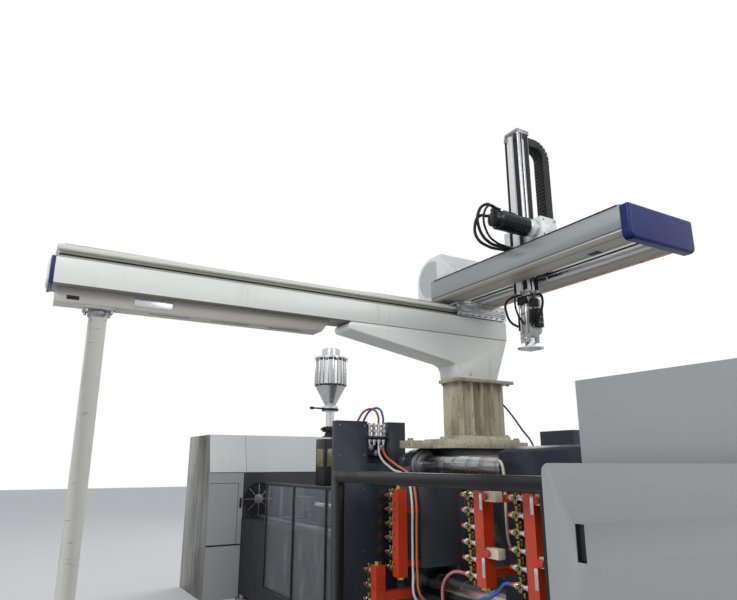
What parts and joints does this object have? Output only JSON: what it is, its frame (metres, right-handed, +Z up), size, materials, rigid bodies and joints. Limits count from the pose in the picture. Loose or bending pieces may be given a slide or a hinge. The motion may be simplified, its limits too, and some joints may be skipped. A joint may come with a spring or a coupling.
{
  "type": "injection moulding machine",
  "caption": "Horizontal injection moulding machine with sliding guards and a top-mounted three-axis take-out robot on a traverse beam.",
  "frame": {"origin": "centre of the bounding box on the floor", "axes": "+X along the machine to the clamp end, -Y to the side where the robot unloads, +Z up"},
  "size_m": [9.45, 4.559, 4.2],
  "materials": {
    "grey_cover": "light grey powder coat",
    "bed_paint": "grey enamel",
    "dark_paint": "dark blue-grey enamel",
    "black_frame": "satin black enamel",
    "platen_steel": "machined casting with grey enamel",
    "chrome": "hard chrome",
    "steel": "ground steel",
    "robot_white": "white gloss enamel",
    "stand_beige": "beige enamel, worn",
    "aluminium": "anodised extrusion",
    "cap_blue": "moulded, glossy",
    "end_navy": "moulded, glossy",
    "black_plastic": "matte",
    "manifold_orange": "orange enamel",
    "hose_rubber": "smooth hose",
    "clear_guard": "black frame with clear panes",
    "bronze": "bearing bronze"
  },
  "bodies": {
    "machine": {"clamp_bed": "bed_paint", "injection_bed": "bed_paint", "levelling_feet": "steel", "guard_sills": "black_frame", "slide_rails": "steel", "stationary_platen": "platen_steel", "cylinder_platen": "platen_steel", "tie_bars": "chrome", "tie_bar_nuts": "steel", "clamp_cylinder": "platen_steel", "rear_guard_frame": "black_frame", "operator_guard_frame": "black_frame", "clamp_cover": "grey_cover", "coupling_cabinet": "dark_paint", "fixed_manifolds": "manifold_orange", "coupling_hoses": "hose_rubber", "pull_bars": "chrome", "barrel_guard": "clear_guard", "power_enclosure": "grey_cover", "panel_bracket": "black_frame", "riser": "stand_beige", "support_post": "stand_beige", "base_casting": "robot_white", "traverse_beam": "robot_white", "cable_tray": "grey_cover", "beam_end_cap": "end_navy", "traverse_rails": "steel"},
    "moving_half": {"moving_platen": "dark_paint", "platen_shoes": "bronze", "platen_top_cover": "dark_paint", "clamp_ram": "chrome", "ejector_cylinders": "steel", "moving_manifolds": "manifold_orange", "moving_hoses": "hose_rubber"},
    "ejector": {"ejector_plate": "steel"},
    "rear_gate": {"rear_gate": "grey_cover"},
    "operator_gate": {"operator_gate": "grey_cover"},
    "injection_unit": {"throat_block": "dark_paint", "barrel": "steel", "heater_bands": "steel", "nozzle": "steel", "hopper": "steel"},
    "injection_drive": {"drive_unit": "dark_paint"},
    "screw": {"screw": "steel"},
    "lid": {"hopper_lid": "steel"},
    "purge_guard": {"purge_guard": "grey_cover"},
    "panel": {"control_panel": "dark_paint"},
    "robot_carriage": {"robot_saddle": "aluminium", "cross_frame": "aluminium", "cross_rails": "steel", "frame_end_cap": "cap_blue", "saddle_cover": "robot_white"},
    "arm_carriage": {"arm_carriage": "aluminium", "arm_motor": "black_plastic", "arm_gearbox": "robot_white"},
    "arm": {"arm_profile": "aluminium", "cable_chain": "black_plastic", "wrist_unit": "aluminium", "wrist_cover": "robot_white"},
    "gripper": {"gripper_plate": "aluminium"}
  },
  "joints": [
    {"name": "clamp_slide", "type": "slide", "parent": "machine", "child": "moving_half", "axis": [1, 0, 0], "range_m": [-0.6, 0]},
    {"name": "ejector_slide", "type": "slide", "parent": "moving_half", "child": "ejector", "axis": [-1, 0, 0], "range_m": [0, 0.15]},
    {"name": "rear_gate_slide", "type": "slide", "parent": "machine", "child": "rear_gate", "axis": [1, 0, 0], "range_m": [-2.145, 0]},
    {"name": "operator_gate_slide", "type": "slide", "parent": "machine", "child": "operator_gate", "axis": [1, 0, 0], "range_m": [0, 2.145]},
    {"name": "nozzle_slide", "type": "slide", "parent": "machine", "child": "injection_unit", "axis": [1, 0, 0], "range_m": [-0.38, 0]},
    {"name": "injection_slide", "type": "slide", "parent": "injection_unit", "child": "injection_drive", "axis": [1, 0, 0], "range_m": [-0.2, 0]},
    {"name": "screw_spin", "type": "hinge", "parent": "injection_drive", "child": "screw", "pos_m": [-1.425, 0.9195, 1.205], "axis": [1, 0, 0], "continuous": true},
    {"name": "lid_hinge", "type": "hinge", "parent": "injection_unit", "child": "lid", "pos_m": [-2.125, 1.1255, 2.8643], "axis": [-1, 0, 0], "range_deg": [0, 95]},
    {"name": "purge_hinge", "type": "hinge", "parent": "machine", "child": "purge_guard", "pos_m": [-0.26, 1.1255, 1.388], "axis": [-1, 0, 0], "range_deg": [0, 85]},
    {"name": "panel_swivel", "type": "hinge", "parent": "machine", "child": "panel", "pos_m": [0.025, 2.0195, 1.56], "axis": [0, 0, 1], "range_deg": [0, 70]},
    {"name": "traverse_slide", "type": "slide", "parent": "machine", "child": "robot_carriage", "axis": [0, 1, 0], "range_m": [-2.35, 0]},
    {"name": "cross_slide", "type": "slide", "parent": "robot_carriage", "child": "arm_carriage", "axis": [-1, 0, 0], "range_m": [-0.85, 0.24]},
    {"name": "arm_slide", "type": "slide", "parent": "arm_carriage", "child": "arm", "axis": [0, 0, -1], "range_m": [0, 0.88], "deforming": ["cable_chain"]},
    {"name": "wrist_flip", "type": "hinge", "parent": "arm", "child": "gripper", "pos_m": [1.21, 0.8615, 2.52], "axis": [0, 1, 0], "range_deg": [0, 90]}
  ]
}
